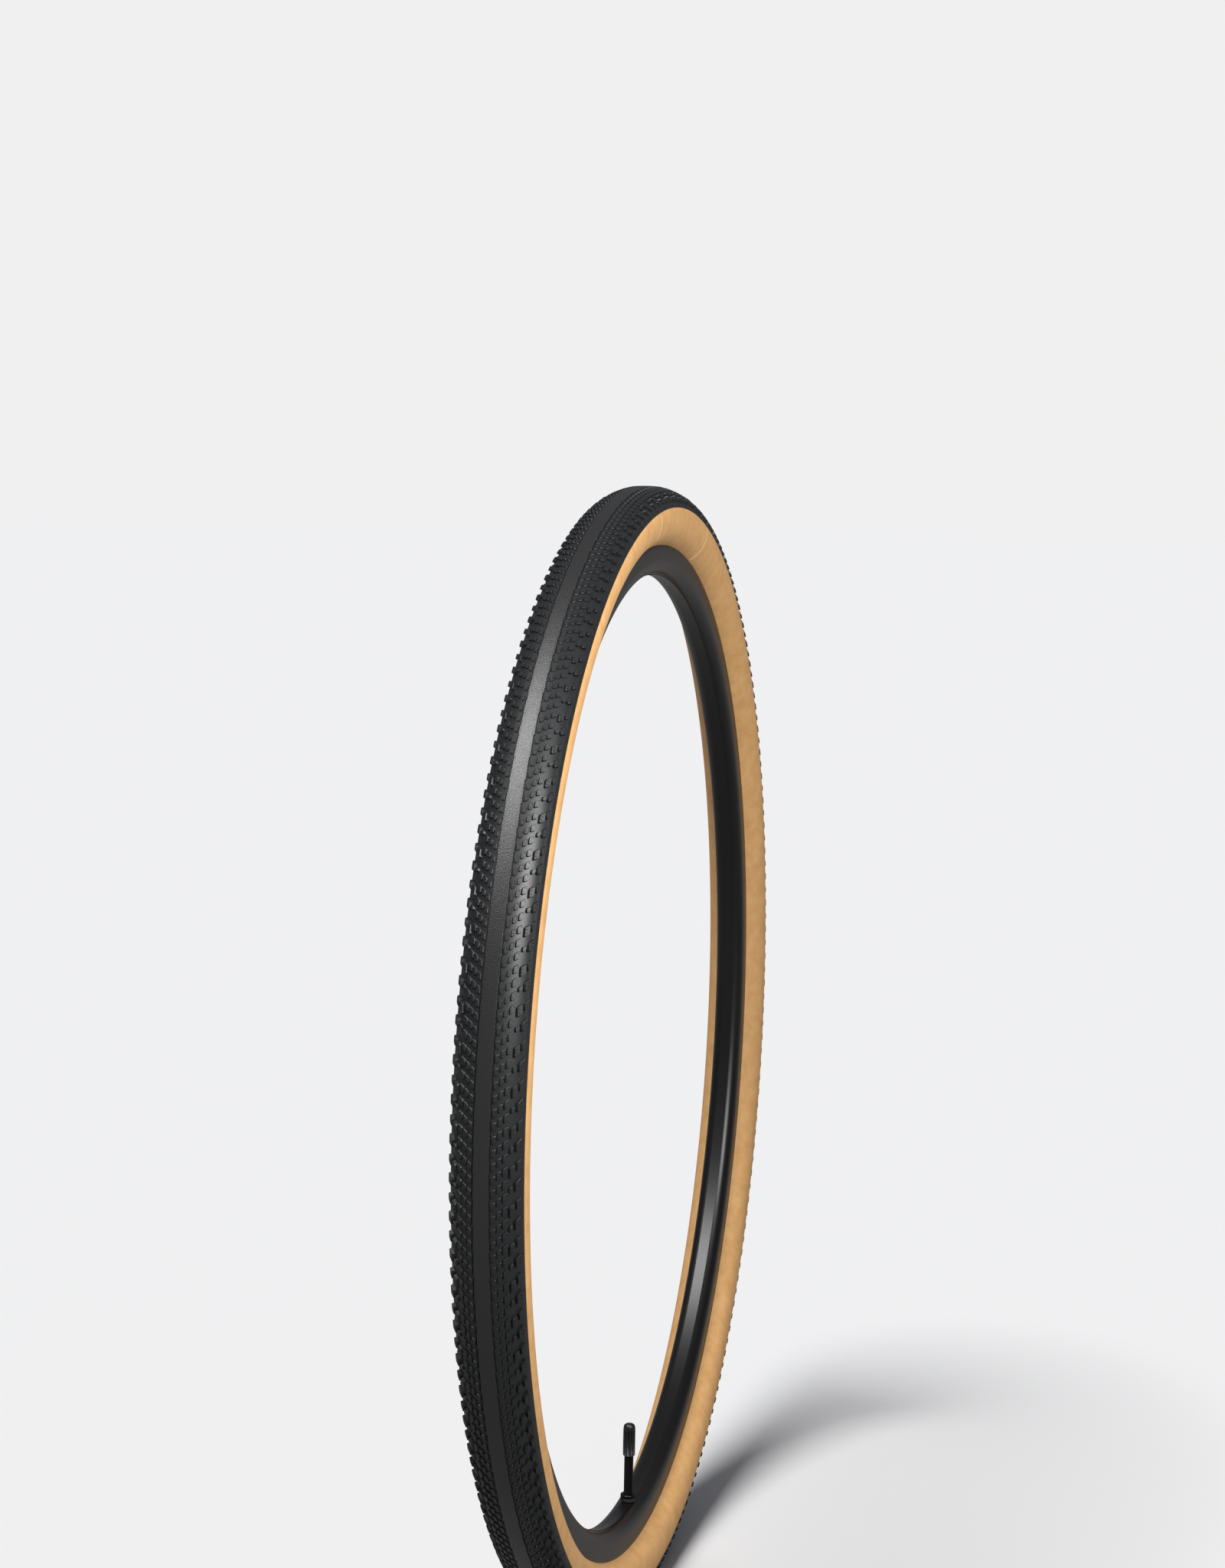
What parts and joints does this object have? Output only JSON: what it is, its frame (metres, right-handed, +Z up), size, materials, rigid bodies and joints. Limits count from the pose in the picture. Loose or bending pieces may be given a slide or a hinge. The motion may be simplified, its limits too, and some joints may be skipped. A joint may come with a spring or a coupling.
{
  "type": "bicycle tire",
  "caption": "Tan-sidewall gravel tyre with a smooth centre strip and knobbed shoulders, inflated on a narrow black rim with a Presta valve.",
  "frame": {"origin": "centre of the wheel, on its axis and midway between the sidewalls", "axes": "+Y along the wheel's axis, +Z up; the valve is at the bottom of the rim and points along +Z"},
  "size_m": [0.7056, 0.0416, 0.7056],
  "materials": {
    "strip_rubber": "fine matt stipple",
    "tread_rubber": "satin moulded",
    "tan_skin": "matt, faint weave",
    "breaker_fabric": "woven",
    "casing_fabric": "rubberised cord",
    "butyl": "satin",
    "aramid": "bundled cord",
    "chafer_fabric": "coated weave",
    "black_alloy": "satin black",
    "tape": "satin film",
    "black_valve_alloy": "black anodised",
    "valve_brass": "bright machined",
    "cap_plastic": "moulded satin"
  },
  "bodies": {
    "wheel": {"tread_centre_strip": "strip_rubber", "tread_shoulder_left": "tread_rubber", "tread_shoulder_right": "tread_rubber", "sidewall_left": "tan_skin", "sidewall_right": "tan_skin", "puncture_breaker": "breaker_fabric", "casing_ply_outer": "casing_fabric", "casing_ply_inner": "casing_fabric", "inner_liner": "butyl", "bead_core_left": "aramid", "bead_core_right": "aramid", "bead_filler_left": "butyl", "bead_filler_right": "butyl", "chafer_left": "chafer_fabric", "chafer_right": "chafer_fabric", "rim_hoop": "black_alloy", "rim_tape": "tape", "valve_stem": "black_valve_alloy", "valve_grommet": "butyl", "valve_core_body": "valve_brass", "valve_core_pin": "valve_brass"},
    "lock_nut": {"valve_lock_nut": "black_valve_alloy", "valve_o_ring": "butyl"},
    "tip_nut": {"valve_tip_nut": "valve_brass"},
    "valve_cap": {"valve_cap": "cap_plastic"}
  },
  "joints": [
    {"name": "lock_nut_travel", "type": "slide", "parent": "wheel", "child": "lock_nut", "axis": [0, 0, 1], "range_m": [0, 0.024]},
    {"name": "tip_nut_travel", "type": "slide", "parent": "wheel", "child": "tip_nut", "axis": [0, 0, 1], "range_m": [0, 0.003]},
    {"name": "valve_cap_pull", "type": "slide", "parent": "wheel", "child": "valve_cap", "axis": [0, 0, 1], "range_m": [0, 0.03]}
  ]
}
